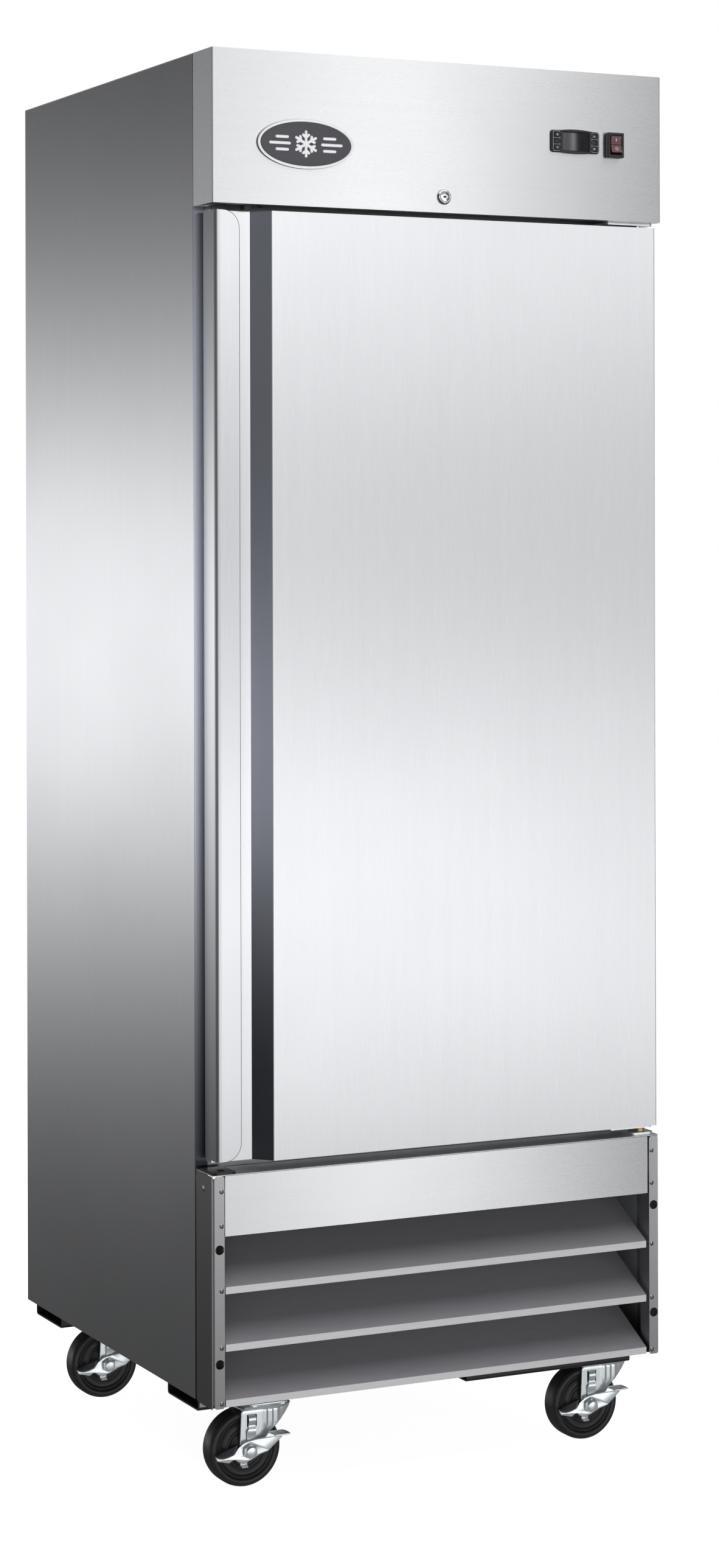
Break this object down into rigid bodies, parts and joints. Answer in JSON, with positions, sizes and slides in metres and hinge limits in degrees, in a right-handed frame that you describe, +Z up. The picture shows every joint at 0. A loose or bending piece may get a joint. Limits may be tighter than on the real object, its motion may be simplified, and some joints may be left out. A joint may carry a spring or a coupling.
{
  "type": "reach in refrigerator",
  "caption": "Stainless one-door reach-in refrigerator for a commercial kitchen, with a full-height bent door handle, louvred base and braked casters.",
  "frame": {"origin": "middle of the footprint, on the floor under the wheels", "axes": "+Z up, -Y is the front with the door, +X is the hinge side"},
  "size_m": [0.737, 0.8042, 2.075],
  "materials": {
    "stainless_vertical": "satin",
    "stainless_horizontal": "satin",
    "galvanised": "satin",
    "liner": "satin",
    "foam": "matte",
    "badge": "satin",
    "black_plastic": "matte",
    "display_window": "gloss",
    "rocker": "gloss",
    "chrome": "polished",
    "gasket": "matte",
    "zinc": "satin",
    "black_paint": "satin",
    "aluminium_fins": "satin",
    "copper": "satin",
    "rubber": "matte",
    "lamp": "satin",
    "shelf_wire": "satin",
    "tyre": "matte"
  },
  "bodies": {
    "cabinet": {"side_panel_right": "stainless_vertical", "side_panel_left": "stainless_vertical", "top_panel": "stainless_horizontal", "back_panel": "galvanised", "cabinet_floor": "stainless_horizontal", "insulation": "foam", "inner_liner": "liner", "front_frame": "stainless_vertical", "header_shell": "stainless_horizontal", "header_panel": "stainless_horizontal", "badge": "badge", "controller_case": "black_plastic", "controller_display": "display_window", "switch_bezel": "black_plastic", "lock_barrel": "chrome", "hinge_brackets": "zinc", "column_right": "stainless_vertical", "column_left": "stainless_vertical", "lower_panel": "stainless_horizontal", "louvres": "stainless_horizontal", "base_frame": "black_paint", "compressor": "black_paint", "condenser": "aluminium_fins", "refrigerant_lines": "copper", "rear_grille": "galvanised", "wall_spacers": "rubber", "evaporator": "liner", "interior_lamp": "lamp", "shelf_supports": "zinc", "wire_shelves": "shelf_wire", "fasteners": "zinc", "caster_plates": "zinc"},
    "door": {"door_skin": "stainless_vertical", "door_liner": "liner", "door_insulation": "foam", "gasket": "gasket", "handle": "stainless_vertical", "door_hinge_plates": "zinc"},
    "rocker": {"power_rocker": "rocker"},
    "lock": {"lock_plug": "chrome"},
    "condenser_blades": {"condenser_fan": "black_plastic"},
    "evaporator_blades": {"evaporator_fan": "black_plastic"},
    "key_left_top": {"key_left_top": "black_plastic"},
    "key_left_middle": {"key_left_middle": "black_plastic"},
    "key_left_bottom": {"key_left_bottom": "black_plastic"},
    "key_right_top": {"key_right_top": "black_plastic"},
    "key_right_middle": {"key_right_middle": "black_plastic"},
    "key_right_bottom": {"key_right_bottom": "black_plastic"},
    "swivel_front_left": {"fork_front_left": "zinc"},
    "roller_front_left": {"wheel_front_left": "tyre"},
    "pedal_front_left": {"brake_front_left": "zinc"},
    "swivel_front_right": {"fork_front_right": "zinc"},
    "roller_front_right": {"wheel_front_right": "tyre"},
    "pedal_front_right": {"brake_front_right": "zinc"},
    "swivel_rear_left": {"fork_rear_left": "zinc"},
    "roller_rear_left": {"wheel_rear_left": "tyre"},
    "pedal_rear_left": {"brake_rear_left": "zinc"},
    "swivel_rear_right": {"fork_rear_right": "zinc"},
    "roller_rear_right": {"wheel_rear_right": "tyre"},
    "pedal_rear_right": {"brake_rear_right": "zinc"}
  },
  "joints": [
    {"name": "door_hinge", "type": "hinge", "parent": "cabinet", "child": "door", "pos_m": [0.346, -0.358, 1.1685], "axis": [0, 0, 1], "range_deg": [0, 120], "stiffness_Nm_per_rad": 0.6},
    {"name": "rocker_tilt", "type": "hinge", "parent": "cabinet", "child": "rocker", "pos_m": [0.287, -0.389, 1.9675], "axis": [1, 0, 0], "range_deg": [0, 14]},
    {"name": "lock_turn", "type": "hinge", "parent": "cabinet", "child": "lock", "pos_m": [0, -0.378, 1.878], "axis": [0, 1, 0], "range_deg": [0, 90]},
    {"name": "condenser_fan_spin", "type": "hinge", "parent": "cabinet", "child": "condenser_blades", "pos_m": [0.1, -0.164, 0.3], "axis": [0, 1, 0], "continuous": true},
    {"name": "evaporator_fan_spin", "type": "hinge", "parent": "cabinet", "child": "evaporator_blades", "pos_m": [0, -0.068, 1.815], "axis": [0, 0, 1], "continuous": true},
    {"name": "key_left_top_press", "type": "slide", "parent": "cabinet", "child": "key_left_top", "axis": [0, 1, 0], "range_m": [0, 0.0008], "stiffness_N_per_m": 400},
    {"name": "key_left_middle_press", "type": "slide", "parent": "cabinet", "child": "key_left_middle", "axis": [0, 1, 0], "range_m": [0, 0.0008], "stiffness_N_per_m": 400},
    {"name": "key_left_bottom_press", "type": "slide", "parent": "cabinet", "child": "key_left_bottom", "axis": [0, 1, 0], "range_m": [0, 0.0008], "stiffness_N_per_m": 400},
    {"name": "key_right_top_press", "type": "slide", "parent": "cabinet", "child": "key_right_top", "axis": [0, 1, 0], "range_m": [0, 0.0008], "stiffness_N_per_m": 400},
    {"name": "key_right_middle_press", "type": "slide", "parent": "cabinet", "child": "key_right_middle", "axis": [0, 1, 0], "range_m": [0, 0.0008], "stiffness_N_per_m": 400},
    {"name": "key_right_bottom_press", "type": "slide", "parent": "cabinet", "child": "key_right_bottom", "axis": [0, 1, 0], "range_m": [0, 0.0008], "stiffness_N_per_m": 400},
    {"name": "swivel_front_left", "type": "hinge", "parent": "cabinet", "child": "swivel_front_left", "pos_m": [-0.246, -0.269, 0.115], "axis": [0, 0, 1], "continuous": true},
    {"name": "roll_front_left", "type": "hinge", "parent": "swivel_front_left", "child": "roller_front_left", "pos_m": [-0.276, -0.269, 0.056], "axis": [0, 1, 0], "continuous": true},
    {"name": "pedal_front_left", "type": "hinge", "parent": "swivel_front_left", "child": "pedal_front_left", "pos_m": [-0.276, -0.269, 0.056], "axis": [0, 1, 0], "range_deg": [-14, 0]},
    {"name": "swivel_front_right", "type": "hinge", "parent": "cabinet", "child": "swivel_front_right", "pos_m": [0.323, -0.269, 0.115], "axis": [0, 0, 1], "continuous": true},
    {"name": "roll_front_right", "type": "hinge", "parent": "swivel_front_right", "child": "roller_front_right", "pos_m": [0.293, -0.269, 0.056], "axis": [0, 1, 0], "continuous": true},
    {"name": "pedal_front_right", "type": "hinge", "parent": "swivel_front_right", "child": "pedal_front_right", "pos_m": [0.293, -0.269, 0.056], "axis": [0, 1, 0], "range_deg": [-14, 0]},
    {"name": "swivel_rear_left", "type": "hinge", "parent": "cabinet", "child": "swivel_rear_left", "pos_m": [-0.246, 0.287, 0.115], "axis": [0, 0, 1], "continuous": true},
    {"name": "roll_rear_left", "type": "hinge", "parent": "swivel_rear_left", "child": "roller_rear_left", "pos_m": [-0.276, 0.287, 0.056], "axis": [0, 1, 0], "continuous": true},
    {"name": "pedal_rear_left", "type": "hinge", "parent": "swivel_rear_left", "child": "pedal_rear_left", "pos_m": [-0.276, 0.287, 0.056], "axis": [0, 1, 0], "range_deg": [-14, 0]},
    {"name": "swivel_rear_right", "type": "hinge", "parent": "cabinet", "child": "swivel_rear_right", "pos_m": [0.323, 0.287, 0.115], "axis": [0, 0, 1], "continuous": true},
    {"name": "roll_rear_right", "type": "hinge", "parent": "swivel_rear_right", "child": "roller_rear_right", "pos_m": [0.293, 0.287, 0.056], "axis": [0, 1, 0], "continuous": true},
    {"name": "pedal_rear_right", "type": "hinge", "parent": "swivel_rear_right", "child": "pedal_rear_right", "pos_m": [0.293, 0.287, 0.056], "axis": [0, 1, 0], "range_deg": [-14, 0]}
  ]
}
